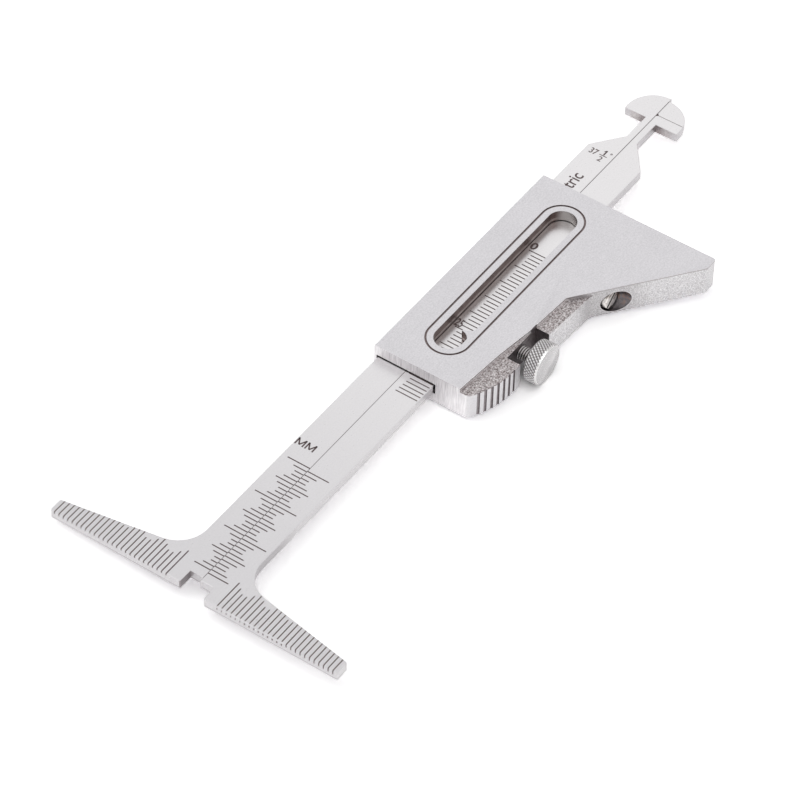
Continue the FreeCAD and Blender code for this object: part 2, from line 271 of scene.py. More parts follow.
def maths(tree, operation, *values):
    """Output of a Math node that is fed with numbers or with other nodes' outputs."""
    node = tree.nodes.new("ShaderNodeMath")
    node.operation = operation
    for socket, value in zip(node.inputs, values):
        feed(tree, socket, value)
    return node.outputs[0]


def map_range(tree, value, source, target=(0.0, 1.0), interpolation="LINEAR"):
    """Value moved from one range to another, and held at the ends."""
    node = tree.nodes.new("ShaderNodeMapRange")
    node.interpolation_type = interpolation
    feed(tree, node.inputs["Value"], value)
    limits = zip(("From Min", "From Max", "To Min", "To Max"), source + target)
    for name, limit in limits:
        feed(tree, node.inputs[name], limit)
    return node.outputs["Result"]


class Shader:
    """Node tree of one material, with short calls for the nodes that it needs."""

    def __init__(self, name):
        self.material = bpy.data.materials.new(name)
        self.material.use_nodes = True
        self.tree = self.material.node_tree
        self.surface = self.tree.nodes["Principled BSDF"]
        self.coordinates = self.tree.nodes.new("ShaderNodeTexCoord")
        scale = self.tree.nodes.new("ShaderNodeVectorMath")
        scale.operation = "SCALE"
        scale.inputs["Scale"].default_value = 1 / MM
        feed(self.tree, scale.inputs[0], self.coordinates.outputs["Object"])
        self.place = scale.outputs[0]

    def axes(self):
        """The three components of the place, in millimetres."""
        return self._split(self.place)

    def normal_axes(self):
        """The three components of the surface normal."""
        return self._split(self.coordinates.outputs["Normal"])

    def _split(self, vector):
        node = self.tree.nodes.new("ShaderNodeSeparateXYZ")
        feed(self.tree, node.inputs[0], vector)
        return node.outputs

    def maths(self, operation, *values):
        return maths(self.tree, operation, *values)

    def times(self, *values):
        """Product, which for masks is 1 where all of them are."""
        result = values[0]
        for value in values[1:]:
            result = self.maths("MULTIPLY", result, value)
        return result

    def less(self, value, other):
        return self.maths("SUBTRACT", value, other)

    def size(self, value):
        return self.maths("ABSOLUTE", value)

    def above(self, value, limit, soft=0.02):
        """1 where a value is over a limit, 0 under it."""
        return map_range(
            self.tree, value, (limit - soft, limit + soft), interpolation="SMOOTHSTEP"
        )

    def below(self, value, limit, soft=0.02):
        return self.less(1.0, self.above(value, limit, soft))

    def between(self, value, low, high, soft=0.02):
        return self.times(self.above(value, low, soft), self.below(value, high, soft))

    def distance(self, x, y, middle_x, middle_y):
        """Distance from an axis, seen along it."""
        dx, dy = self.less(x, middle_x), self.less(y, middle_y)
        return self.maths("SQRT", self.maths("ADD", self.times(dx, dx), self.times(dy, dy)))

    def noise(self, per_mm, detail=3.0, rough=0.55, stretch=(1, 1, 1)):
        """Noise with about this many features a millimetre, stretched along the axes."""
        mapping = self.tree.nodes.new("ShaderNodeMapping")
        feed(self.tree, mapping.inputs["Vector"], self.place)
        mapping.inputs["Scale"].default_value = [per_mm / along for along in stretch]
        node = self.tree.nodes.new("ShaderNodeTexNoise")
        feed(self.tree, node.inputs["Vector"], mapping.outputs[0])
        node.inputs["Scale"].default_value = 1.0
        node.inputs["Detail"].default_value = detail
        node.inputs["Roughness"].default_value = rough
        return node.outputs["Fac"]

    def spread(self, value, low, high):
        """Noise value moved so that its usual range runs from low to high."""
        return map_range(self.tree, value, (0.3, 0.7), (low, high))

    def blend(self, mask, first, second):
        """First colour where the mask is 0, second where it is 1."""
        node = self.tree.nodes.new("ShaderNodeMix")
        node.data_type = "RGBA"
        # a Mix node's colour sockets are number 6 and 7, and their result is number 2
        for socket, value in ((0, mask), (6, first), (7, second)):
            feed(self.tree, node.inputs[socket], value)
        return node.outputs[2]

    def lerp(self, mask, first, second):
        """First number where the mask is 0, second where it is 1."""
        node = self.tree.nodes.new("ShaderNodeMix")
        for socket, value in ((0, mask), (2, first), (3, second)):
            feed(self.tree, node.inputs[socket], value)
        return node.outputs[0]

    def mottle(self, noise, first, second, low=0.0, high=1.0):
        """Two colours blended by a noise that is spread from low to high."""
        return self.blend(self.spread(noise, low, high), first, second)

    def bump(self, height, strength, distance):
        node = self.tree.nodes.new("ShaderNodeBump")
        feed(self.tree, node.inputs["Height"], height)
        node.inputs["Strength"].default_value = strength
        node.inputs["Distance"].default_value = distance * MM
        feed(self.tree, self.surface.inputs["Normal"], node.outputs[0])

    def finish(self, colour, roughness, metallic):
        feed(self.tree, self.surface.inputs["Base Color"], colour)
        feed(self.tree, self.surface.inputs["Roughness"], roughness)
        self.surface.inputs["Metallic"].default_value = metallic
        return self.material


def satin_pattern(shader, brushed):
    """Fine grain, brushed streaks and faint clouds, added up."""
    grain = shader.noise(3.4, detail=2.0, rough=0.5)
    streaks = shader.noise(5.0, detail=2.0, stretch=brushed)
    clouds = shader.noise(0.12, detail=2.0)
    mixed = shader.maths("ADD", shader.times(grain, 0.65), shader.times(streaks, 0.2))
    return shader.maths("ADD", mixed, shader.times(clouds, 0.15))


def satin_metal(name, colour, roughness, brushed):
    """Fine satin metal, brushed a little along one direction."""
    shader = Shader(name)
    mixed = satin_pattern(shader, brushed)
    tone = shader.mottle(mixed, shade(colour, 0.92), shade(colour, 1.07))
    shader.bump(mixed, 0.25, 0.01)
    rough = shader.spread(mixed, roughness - 0.06, roughness + 0.06)
    return shader.finish(tone, rough, 1.0)


def etch_ink():
    """Dark brown-grey etched lines, a little uneven."""
    shader = Shader("etch_ink")
    uneven = shader.noise(4.0, detail=3.0)
    tone = shader.mottle(uneven, rgb(86, 70, 70), rgb(116, 101, 101))
    shader.bump(uneven, 0.2, 0.01)
    return shader.finish(tone, shader.spread(uneven, 0.55, 0.75), 0.2)


# ------------ blade steel

def blade_steel():
    """Satin steel of the blades, with ground edges and painted shade, which is darkest in the
    hooks' corners.
    """
    shader = Shader("blade_satin_steel")
    x, y, z = shader.axes()
    normal_x, normal_y, normal_z = shader.normal_axes()
    mixed = satin_pattern(shader, (12, 1, 1))
    speckle = shader.noise(3.0, detail=4.0, rough=0.7)
    from_joint = shader.size(y)
    edges = shader.below(shader.size(normal_z), 0.4, 0.15)

    # the face, darker at the wings' end and lighter towards the hooks
    darker_tone, lighter_tone = rgb(212, 210, 212), rgb(229, 227, 228)
    tone = shader.blend(
        shader.above(x, -45.0, 50.0),
        shader.mottle(mixed, shade(darker_tone, 0.955), shade(darker_tone, 1.04)),
        shader.mottle(mixed, shade(lighter_tone, 0.94), shade(lighter_tone, 1.025)),
    )

    # the joint line, darker towards the hooks
    joint_tone = shader.blend(shader.above(x, 20.0, 20.0), rgb(158, 154, 155), rgb(112, 107, 107))

    # ground edges
    near = shader.mottle(speckle, rgb(193, 190, 192), rgb(214, 212, 213))
    far = shader.mottle(speckle, rgb(176, 173, 175), rgb(204, 201, 203))
    ground = shader.blend(shader.above(x, 15.0, 10.0), near, far)

    # painted shade on the undersides of the hooks, darkest in the corners by the joint
    under_hook = shader.times(
        edges,
        shader.below(normal_x, -0.7, 0.1),
        shader.above(x, HOOKS_START),
        shader.below(from_joint, HOOK_THROAT, 0.5),
    )
    shaded = shader.mottle(speckle, rgb(158, 152, 152), rgb(202, 197, 197))
    corner = shader.mottle(speckle, rgb(106, 98, 98), rgb(166, 158, 158))
    shaded = shader.blend(shader.below(from_joint, 3.0, 1.0), shaded, corner)

    # rounded edges of the hooked end with painted shade, and dashed painted shade along the foot
    # of the wings' fronts
    arris = shader.times(shader.between(normal_z, 0.6, 0.97), shader.above(x, 15.0, 5.0))
    foot = shader.times(
        edges,
        shader.below(z, 2.45, 0.06),
        shader.below(x, WINGS_FINISH),
        shader.above(speckle, 0.42, 0.1),
    )

    # painted shade on the fillet behind the right wing and in the notch between the wings
    fillet_side = shader.times(
        edges,
        shader.between(x, WINGS_FINISH, FILLET_FINISH, 4.0),
        shader.below(y, -BLADE_SIDE, 0.1),
        shader.below(normal_y, -0.2, 0.1),
    )
    wing_notch = shader.times(
        edges,
        shader.below(x, WING_NOTCH_FINISH),
        shader.between(y, -WING_NOTCH_HALF_WIDTH, WING_NOTCH_HALF_WIDTH),
        shader.below(normal_y, -0.5, 0.1),
    )

    layers = (
        (shader.below(from_joint, 0.075), joint_tone),
        (edges, ground),
        (under_hook, shaded),
        (arris, rgb(206, 204, 205)),
        (foot, rgb(158, 155, 157)),
        (fillet_side, rgb(176, 173, 175)),
        (wing_notch, rgb(150, 144, 146)),
    )
    for mask, layer in layers:
        tone = shader.blend(mask, tone, layer)
    shader.bump(shader.lerp(edges, mixed, speckle), 0.05, 0.01)
    return shader.finish(tone, shader.spread(mixed, 0.27, 0.31), 1.0)


# ------------ housing steel

def gripping_side(shader, mixed, speckle):
    """Fine grain on the upright faces, darker by the drag bore, with a painted highlight round
    the bore's rim, smooth between the grooves.
    """
    x, _, z = shader.axes()
    sanded = shader.mottle(speckle, rgb(178, 175, 177), rgb(228, 227, 228), -0.2, 1.2)
    darker_tone = shader.mottle(speckle, rgb(160, 157, 158), rgb(204, 202, 203), -0.2, 1.2)
    tone = shader.blend(shader.between(x, *DARKER_BY_BORE, 3.0), sanded, darker_tone)
    # painted highlight: a bright ring round the rim of the drag bore
    bore_reach = shader.distance(x, z, DRAG_X, DRAG_Z)
    bore_rim = shader.between(bore_reach, DRAG_BORE_RADIUS, DRAG_BORE_RADIUS + 0.08, 0.03)
    tone = shader.blend(bore_rim, tone, rgb(230, 227, 227))
    lands = shader.mottle(mixed, rgb(206, 204, 206), rgb(222, 220, 222))
    return shader.blend(shader.below(x, NOTCH_START + 0.05, 0.05), tone, lands)


def step_layers(shader):
    """Painted highlight on the speckled wall of the step down to the ledge, and a thin painted
    shade line under its edge.
    """
    x, _, z = shader.axes()
    _, normal_y, normal_z = shader.normal_axes()
    towards = shader.below(normal_y, -0.15, 0.1)
    step = shader.times(
        shader.below(normal_z, 0.8, 0.05),
        towards,
        shader.above(z, LEDGE_TOP + 0.04),
        shader.below(x, STEP_FINISH, 0.3),
    )
    grain = shader.noise(2.6, detail=3.0, rough=0.7)
    bright = shader.mottle(grain, rgb(222, 212, 212), rgb(255, 255, 255), -0.4, 2.2)
    arris = shader.times(shader.between(z, FRONT_TOP - 0.34, FRONT_TOP - 0.1, 0.03), towards)
    return [(step, bright), (arris, rgb(166, 162, 163))]


def slot_layer(shader, end_face):
    """Painted shade inside the blades' slot, dark at its mouth, and a painted shadow on the end
    face round the mouth.
    """
    x, y, z = shader.axes()
    shaded_inside = shader.times(
        shader.between(z, SLOT_LOW, SLOT_HIGH, 0.04),
        shader.between(y, SLOT_RIGHT, SLOT_LEFT, 0.03),
        shader.between(x, HOUSING_END + 0.03, -HOUSING_END - 0.03),
    )
    mouth = shader.times(
        end_face,
        shader.between(z, SLOT_LOW, SLOT_HIGH, 0.03),
        shader.between(y, SLOT_MOUTH_RIGHT, SLOT_MOUTH_LEFT, 0.03),
    )
    far_in = shader.between(x, HOUSING_END + 2.0, -HOUSING_END - 2.0, 0.5)
    tone = shader.blend(far_in, rgb(26, 22, 22), rgb(196, 188, 186))
    return (shader.maths("MAXIMUM", shaded_inside, mouth), tone)


def window_layers(shader):
    """Etched outline round the window, and the window's brown wall with a painted highlight
    streak and painted light at its right end.
    """
    x, y, z = shader.axes()
    normal_x = shader.normal_axes()[0]
    # distance from the line between the centres of the window's two ends
    nearest = shader.maths("MINIMUM", shader.maths("MAXIMUM", x, WINDOW_LEFT), WINDOW_RIGHT)
    reach = shader.distance(x, y, nearest, WINDOW_Y)
    off_line = shader.size(shader.less(reach, OUTLINE_RADIUS))
    etched = shader.times(
        shader.below(off_line, ETCHED_HALF_WIDTH, 0.05), shader.above(z, FRONT_TOP - 0.3)
    )
    etch_tone = shader.mottle(
        shader.noise(3.0, detail=3.0), rgb(104, 92, 91), rgb(134, 122, 121)
    )
    wall = shader.times(
        shader.below(reach, WINDOW_RADIUS + 0.03),
        shader.below(z, FRONT_TOP - 0.08, 0.06),
        shader.above(z, WINDOW_BOTTOM),
    )
    wall_noise = shader.noise(2.0, detail=3.0, stretch=(4, 4, 1))
    wall_tone = shader.mottle(wall_noise, rgb(90, 72, 68), rgb(132, 114, 110))
    # painted highlight: a light streak along the lower part of the wall
    streak = shader.times(
        shader.between(z, *WALL_STREAK, 0.12), shader.spread(shader.noise(0.25), 0.2, 1.0)
    )
    wall_tone = shader.blend(streak, wall_tone, rgb(196, 188, 184))
    # painted light: the wall is lighter at the window's right end
    right_end = shader.times(
        shader.below(normal_x, -0.72, 0.3), shader.above(x, WINDOW_RIGHT - 0.1, 0.1)
    )
    wall_tone = shader.blend(right_end, wall_tone, rgb(186, 182, 180))
    return [(etched, etch_tone), (wall, wall_tone)]


def hollow_layers(shader):
    """Painted shade in the hollows: notch, drag bore with a little rust, and grip grooves."""
    x, y, z = shader.axes()
    normal_z = shader.normal_axes()[2]
    uneven = shader.noise(1.6, detail=3.0)
    notch = shader.times(
        shader.between(x, NOTCH_START - 0.05, NOTCH_FINISH + 0.05, 0.03),
        shader.below(y, NOTCH_WALL + 0.03),
        shader.above(y, NOTCH_FRONT, 0.08),
        shader.below(normal_z, 0.5, 0.1),
    )
    notch_tone = shader.mottle(uneven, rgb(132, 124, 126), rgb(174, 167, 169))
    bore = shader.times(
        shader.below(shader.distance(x, z, DRAG_X, DRAG_Z), DRAG_BORE_RADIUS + 0.03),
        shader.below(y, DRAG_BORE_END),
    )
    bore_tone = shader.mottle(uneven, rgb(106, 103, 107), rgb(148, 143, 145))
    rust = shader.times(
        shader.above(shader.noise(1.1, detail=3.0), 0.55, 0.05), shader.above(x, RUST_START, 0.3)
    )
    bore_tone = shader.blend(rust, bore_tone, rgb(156, 136, 129))
    groove = shader.times(
        shader.below(shader.distance(x, y, *GRIP_CENTRE), GRIP_RADIUS - 0.06, 0.04),
        shader.between(x, GRIP_START, NOTCH_START - 0.2, 0.05),
        shader.below(y, GRIP_FACES_Y, 0.05),
        shader.below(shader.size(normal_z), 0.5, 0.1),
    )
    groove_tone = shader.mottle(uneven, rgb(132, 125, 127), rgb(152, 145, 147))
    return [(notch, notch_tone), (bore, bore_tone), (groove, groove_tone)]


def housing_steel():
    """Satin steel with a coarse ledge, a brushed end, an etched outline, painted highlights, and
    painted shade in the slot and the hollows.
    """
    shader = Shader("housing_satin_steel")
    x, _, z = shader.axes()
    normal_x, normal_y, normal_z = shader.normal_axes()
    mixed = satin_pattern(shader, (8, 1, 1))
    speckle = shader.noise(3.8, detail=3.0, rough=0.6)
    coarse = shader.noise(2.9, detail=3.0, rough=0.6)

    steel = rgb(217, 215, 218)
    colour = shader.mottle(mixed, shade(steel, 0.86), shade(steel, 1.12))
    end_face = shader.times(
        shader.below(normal_x, -0.6, 0.2), shader.below(x, HOUSING_END + 0.2, 0.1)
    )
    streaks = shader.noise(3.5, detail=4.0, rough=0.7, stretch=(1, 1, 14))
    brushed = shader.mottle(streaks, rgb(206, 203, 205), rgb(246, 244, 245))
    upright = shader.times(
        shader.below(shader.size(normal_z), 0.4, 0.1), shader.below(normal_y, -0.2, 0.1)
    )
    ledge = shader.times(
        shader.between(z, LEDGE_TOP - 0.1, LEDGE_TOP + 0.1, 0.03),
        shader.above(normal_z, 0.5, 0.1),
    )
    pitted = shader.mottle(coarse, rgb(112, 102, 101), rgb(234, 230, 231), -0.2, 1.15)
    warm = shader.blend(0.4, pitted, rgb(176, 158, 156))
    pitted = shader.mottle(shader.noise(1.4, detail=2.0), pitted, warm, 0.0, 0.5)

    layers = [(end_face, brushed), (upright, gripping_side(shader, mixed, speckle))]
    layers += step_layers(shader)
    layers += [(ledge, pitted), slot_layer(shader, end_face)]
    layers += window_layers(shader)
    layers += hollow_layers(shader)
    for mask, layer in layers:
        colour = shader.blend(mask, colour, layer)

    height = shader.lerp(upright, shader.times(mixed, 0.3), shader.times(speckle, 0.6))
    height = shader.lerp(ledge, height, shader.times(coarse, 4.0))
    shader.bump(height, 0.6, 0.03)
    roughness = shader.lerp(ledge, shader.spread(mixed, 0.36, 0.48), 0.55)
    return shader.finish(colour, roughness, 1.0)


# ------------ screw steels

def turned_steel(name, centre_x, centre_z, colour):
    """Start of a turned steel with fine rings round a screw's axis.

    Gives the shader, the distance from the axis, the pattern and the tone.
    """
    shader = Shader(name)
    x, _, z = shader.axes()
    radius = shader.distance(x, z, centre_x, centre_z)
    rings = shader.tree.nodes.new("ShaderNodeTexNoise")
    rings.noise_dimensions = "1D"
    feed(shader.tree, rings.inputs["W"], radius)
    rings.inputs["Scale"].default_value = 5.0
    rings.inputs["Detail"].default_value = 3.0
    grain = shader.noise(5.0)
    mixed = shader.maths("ADD", shader.times(rings.outputs[0], 0.5), shader.times(grain, 0.5))
    tone = shader.mottle(mixed, shade(colour, 0.93), shade(colour, 1.06))
    return shader, radius, mixed, tone


def thumb_screw_steel():
    """Knurled head with a polished rim and a grey face, and a thread with bright crests, with
    painted shade in the knurl, under the head and in the thread, a painted glint on the rim and
    painted light on the face.
    """
    shader, radius, mixed, tone = turned_steel(
        "thumb_screw_steel", THUMB_X, THUMB_Z, rgb(216, 214, 215)
    )
    x, y, z = shader.axes()
    # height over the bottom of a knurl groove, with the bevelled rim left out
    bevel_radius = shader.maths("ADD", shader.less(y, HEAD_OUTER), HEAD_RADIUS - RIM)
    surface_radius = shader.maths("MINIMUM", bevel_radius, HEAD_RADIUS)
    depth = shader.less(surface_radius, radius)
    side = shader.between(y, HEAD_OUTER + 0.05, HEAD_INNER - 0.05, 0.03)
    on_shank = shader.above(y, HEAD_INNER + 0.02)
    # painted shade in the knurl's grooves
    knurl = shader.times(shader.above(depth, 0.07, 0.06), side)
    # painted shade on the lower part of the head's side
    underside = shader.times(side, shader.below(z, 0.9, 0.9), 0.5)
    crest = shader.times(shader.below(radius, THREAD_RADIUS + 0.1), on_shank)
    # painted shade in the thread's grooves, between its crests
    thread = shader.times(shader.below(radius, THREAD_RADIUS - 0.16, 0.08), on_shank)

    # polished rim, with a painted glint where it turns to the light
    rim = shader.times(
        shader.below(depth, 0.03, 0.03),
        shader.between(y, HEAD_OUTER + 0.01, HEAD_OUTER + RIM, 0.01),
    )
    from_x, from_z = shader.less(x, THUMB_X), shader.less(z, THUMB_Z)
    towards = shader.maths(
        "ADD",
        shader.times(from_x, math.cos(RIM_GLINT)),
        shader.times(from_z, math.sin(RIM_GLINT)),
    )
    turned = shader.maths("DIVIDE", towards, radius)
    glint = shader.above(turned, math.cos(RIM_GLINT_REACH), 0.03)
    rim_tone = shader.blend(glint, rgb(219, 217, 217), rgb(255, 255, 255))

    # face, with painted light at the lower right
    face = shader.below(y, HEAD_OUTER + 0.008, 0.004)
    face_tone = shader.mottle(mixed, rgb(187, 185, 186), rgb(194, 192, 193))
    lower_right = shader.above(shader.less(from_x, from_z), 1.5, 4.0)
    face_tone = shader.blend(lower_right, face_tone, rgb(212, 210, 211))

    layers = (
        (knurl, rgb(112, 107, 107)),
        (underside, rgb(70, 66, 68)),
        (crest, rgb(222, 219, 219)),
        (thread, rgb(96, 90, 90)),
        (rim, rim_tone),
        (face, face_tone),
    )
    for mask, layer in layers:
        tone = shader.blend(mask, tone, layer)
    shader.bump(mixed, 0.12, 0.01)
    rough = shader.lerp(rim, shader.spread(mixed, 0.25, 0.35), 0.16)
    return shader.finish(tone, rough, 1.0)


def drag_screw_steel():
    """Bright face with a few darker spots, and painted shade in the slot."""
    shader, _, mixed, tone = turned_steel(
        "drag_screw_steel", DRAG_X, DRAG_Z, rgb(247, 243, 239)
    )
    x, y, z = shader.axes()
    spot = shader.above(shader.noise(0.8, detail=2.0), 0.57, 0.04)
    tone = shader.blend(spot, tone, rgb(176, 168, 162))
    across = shader.less(
        shader.times(shader.less(z, DRAG_Z), math.cos(DRAG_SLOT_TURN)),
        shader.times(shader.less(x, DRAG_X), math.sin(DRAG_SLOT_TURN)),
    )
    shaded_inside = shader.times(
        shader.below(shader.size(across), DRAG_SLOT_HALF_WIDTH),
        shader.above(y, DRAG_FACE + 0.06, 0.03),
        shader.below(y, DRAG_FACE + DRAG_SLOT_DEPTH),
    )
    tone = shader.blend(shaded_inside, tone, rgb(92, 84, 82))
    shader.bump(mixed, 0.12, 0.01)
    return shader.finish(tone, shader.spread(mixed, 0.35, 0.45), 1.0)


# ------------ meshes

def object_from(bm, name, material, body):
    """Makes a piece from a bmesh in millimetres, which rides on a body."""
    bmesh.ops.scale(bm, vec=(MM, MM, MM), verts=bm.verts)
    bmesh.ops.recalc_face_normals(bm, faces=bm.faces)
    mesh = bpy.data.meshes.new(name)
    bm.to_mesh(mesh)
    bm.free()
    mesh.materials.append(material)
    piece = bpy.data.objects.new(name, mesh)
    bpy.context.scene.collection.objects.link(piece)
    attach(piece, body)
    return piece


def soften_shading(bm, sharp_degrees=35):
    """Smooth shading that stops at the sharp edges."""
    for face in bm.faces:
        face.smooth = True
    limit = math.radians(sharp_degrees)
    for edge in bm.edges:
        edge.smooth = len(edge.link_faces) == 2 and edge.calc_face_angle(0) < limit


def weight_normals(piece):
    """Flat faces stay flat beside their rounded edges."""
    modifier = piece.modifiers.new("weighted_normals", "WEIGHTED_NORMAL")
    modifier.keep_sharp = True
    modifier.weight = 80


def copy_of(node):
    """Closed mesh of a CAD node in millimetres, with its flat faces merged."""
    bm = bmesh.new()
    bm.from_mesh(frame["nodes"][node].data)
    bmesh.ops.scale(bm, vec=(1 / MM, 1 / MM, 1 / MM), verts=bm.verts)
    bmesh.ops.remove_doubles(bm, verts=bm.verts, dist=WELD_DISTANCE)
    flat = math.radians(0.3)
    bmesh.ops.dissolve_limit(bm, angle_limit=flat, verts=bm.verts, edges=bm.edges)
    return bm


def is_sharp(edge):
    return len(edge.link_faces) == 2 and edge.calc_face_angle(0) > SHARP_EDGE


def round_edges(bm, chosen, width, segments=2):
    """Rounds the sharp edges that the test picks out."""
    edges = [edge for edge in bm.edges if is_sharp(edge) and chosen(edge)]
    if edges:
        bmesh.ops.bevel(
            bm,
            geom=edges,
            offset=width,
            offset_type="OFFSET",
            segments=segments,
            profile=0.5,
            affect="EDGES",
            clamp_overlap=True,
            material=-1,
        )


def level(edge, height):
    """Whether an edge lies flat at a height."""
    return all(abs(vertex.co.z - height) < 0.01 for vertex in edge.verts)


def add_bar(bm, corners, bottom, top):
    """Upright prism on a flat outline given as (x, y) corners."""
    lower = [bm.verts.new((x, y, bottom)) for x, y in corners]
    upper = [bm.verts.new((x, y, top)) for x, y in corners]
    bm.faces.new(upper)
    bm.faces.new(lower[::-1])
    count = len(corners)
    for index in range(count):
        following = (index + 1) % count
        bm.faces.new((lower[index], lower[following], upper[following], upper[index]))


def add_tick(bm, start, end, width=TICK_WIDTH):
    """Straight etched line on the blade, from one (x, y) place to another."""
    start, end = Vector(start), Vector(end)
    along = (end - start).normalized()
    across = Vector((-along.y, along.x)) * width / 2
    corners = [start - across, end - across, end + across, start + across]
    add_bar(bm, [(c.x, c.y) for c in corners], BLADE_TOP - MARK_SINK, BLADE_TOP + MARK_RISE)


# ------------ camera and stage

def place_camera():
    """Camera at the photograph's angle, turned a little about its line of sight."""
    target = Vector(CAMERA_TARGET) * MM
    flat = Vector((math.cos(CAMERA_HEADING), math.sin(CAMERA_HEADING), 0))
    forward = flat * math.cos(CAMERA_DOWN) - Vector((0, 0, math.sin(CAMERA_DOWN)))
    right = Vector((math.sin(CAMERA_HEADING), -math.cos(CAMERA_HEADING), 0))
    up = right.cross(forward)
    turned_right = right * math.cos(CAMERA_ROLL) + up * math.sin(CAMERA_ROLL)
    turned_up = up * math.cos(CAMERA_ROLL) - right * math.sin(CAMERA_ROLL)
    data = bpy.data.cameras.new("camera")
    data.sensor_width = SENSOR
    data.lens = FOCAL_PIXELS * SENSOR / IMAGE_PIXELS
    data.clip_start = 0.05
    data.clip_end = 20.0
    camera = bpy.data.objects.new("camera", data)
    bpy.context.scene.collection.objects.link(camera)
    pose = Matrix((turned_right, turned_up, -forward)).transposed().to_4x4()
    pose.translation = target - forward * (CAMERA_DISTANCE * MM)
    camera.matrix_world = pose
    bpy.context.scene.camera = camera


def floor_material():
    """White paper, pure white to the camera and in reflections apart from the shadows."""
    material = bpy.data.materials.new("floor_white")
    material.use_nodes = True
    tree = material.node_tree
    tree.nodes.clear()
    path = tree.nodes.new("ShaderNodeLightPath")
    seen = maths(
        tree, "MAXIMUM", path.outputs["Is Camera Ray"], path.outputs["Is Glossy Ray"]
    )
    tone = map_range(tree, seen, (0.0, 1.0), (FLOOR_PAPER, FLOOR_TONE))

    # painted shadow: a soft dark spot on the floor in the corner by the notch
    place = tree.nodes.new("ShaderNodeTexCoord")
    away = tree.nodes.new("ShaderNodeVectorMath")
    away.operation = "DISTANCE"
    away.inputs[1].default_value = [value * MM for value in CORNER_SHADE]
    feed(tree, away.inputs[0], place.outputs["Object"])
    reach = (0.0, CORNER_SHADE_REACH * MM)
    lit = map_range(
        tree, away.outputs["Value"], reach, (CORNER_SHADE_LEVEL, 1.0), "SMOOTHSTEP"
    )

    paper = tree.nodes.new("ShaderNodeBsdfDiffuse")
    feed(tree, paper.inputs["Color"], maths(tree, "MULTIPLY", tone, lit))
    glow = tree.nodes.new("ShaderNodeEmission")
    feed(tree, glow.inputs["Strength"], maths(tree, "MULTIPLY", seen, FLOOR_GLOW))
    total = tree.nodes.new("ShaderNodeAddShader")
    feed(tree, total.inputs[0], paper.outputs[0])
    feed(tree, total.inputs[1], glow.outputs[0])
    output = tree.nodes.new("ShaderNodeOutputMaterial")
    feed(tree, output.inputs["Surface"], total.outputs[0])
    return material


def make_floor():
    """Plain white floor, tilted a little because the thumb screw's head stands proud."""
    bm = bmesh.new()
    far = FLOOR_REACH
    corners = [(-far, -far), (far, -far), (far, far), (-far, far)]
    bm.faces.new(
        [
            bm.verts.new((x, y, -FLOOR_TILT * (FLOOR_REST_Y - y) - FLOOR_GAP))
            for x, y in corners
        ]
    )
    bmesh.ops.scale(bm, vec=(MM, MM, MM), verts=bm.verts)
    mesh = bpy.data.meshes.new("floor")
    bm.to_mesh(mesh)
    bm.free()
    mesh.materials.append(floor_material())
    floor = bpy.data.objects.new("floor", mesh)
    bpy.context.scene.collection.objects.link(floor)


def make_world():
    """White surround, a little dimmer for the light that falls on matt surfaces."""
    world = bpy.data.worlds.new("studio")
    bpy.context.scene.world = world
    world.use_nodes = True
    tree = world.node_tree
    background = tree.nodes["Background"]
    background.inputs["Color"].default_value = (1, 1, 1, 1)
    path = tree.nodes.new("ShaderNodeLightPath")
    mirrored = maths(
        tree, "MAXIMUM", path.outputs["Is Glossy Ray"], path.outputs["Is Transmission Ray"]
    )
    direction = tree.nodes.new("ShaderNodeTexCoord")
    parts = tree.nodes.new("ShaderNodeSeparateXYZ")
    feed(tree, parts.inputs[0], direction.outputs["Generated"])
    upward = maths(tree, "MAXIMUM", parts.outputs["Z"], 0.0)
    overhead = maths(tree, "POWER", upward, WORLD_STEEPNESS)
    dome = maths(tree, "MULTIPLY_ADD", overhead, WORLD_OVERHEAD, WORLD_HORIZON)
    light = map_range(tree, mirrored, (0.0, 1.0), (dome, WORLD_MIRRORED))
    strength = maths(tree, "MAXIMUM", path.outputs["Is Camera Ray"], light)
    feed(tree, background.inputs["Strength"], strength)


def add_lamp(name, place, aim, size, power):
    """Soft square lamp that looks at a place."""
    data = bpy.data.lights.new(name, "AREA")
    data.shape = "SQUARE"
    data.size = size
    data.energy = power
    lamp = bpy.data.objects.new(name, data)
    lamp.location = place
    lamp.rotation_mode = "QUATERNION"
    lamp.rotation_quaternion = (Vector(aim) - Vector(place)).to_track_quat("-Z", "Y")
    bpy.context.scene.collection.objects.link(lamp)


# ------------ scales and lettering

def wing_depth(from_tip):
    """How far the wing reaches back from its front edge, this far from its tip."""
    return WING_TIP_WIDTH + from_tip * WING_TAPER


def add_broken_tick(bm, front, length, y, half_width):
    """Line that stops at the bright rounded edge and goes on lower down as a short mark."""
    face = front + FRONT_SETBACK
    add_tick(bm, (face + BROKEN_TICK_SETBACK, y), (front + length, y))
    outer_x, inner_x = face - MARK_RISE, face + MARK_SINK
    low_y, high_y = y - half_width, y + half_width
    corners = [(outer_x, low_y), (inner_x, low_y), (inner_x, high_y), (outer_x, high_y)]
    add_bar(bm, corners, BLADE_TOP - BROKEN_TICK_BOTTOM, BLADE_TOP - BROKEN_TICK_TOP)


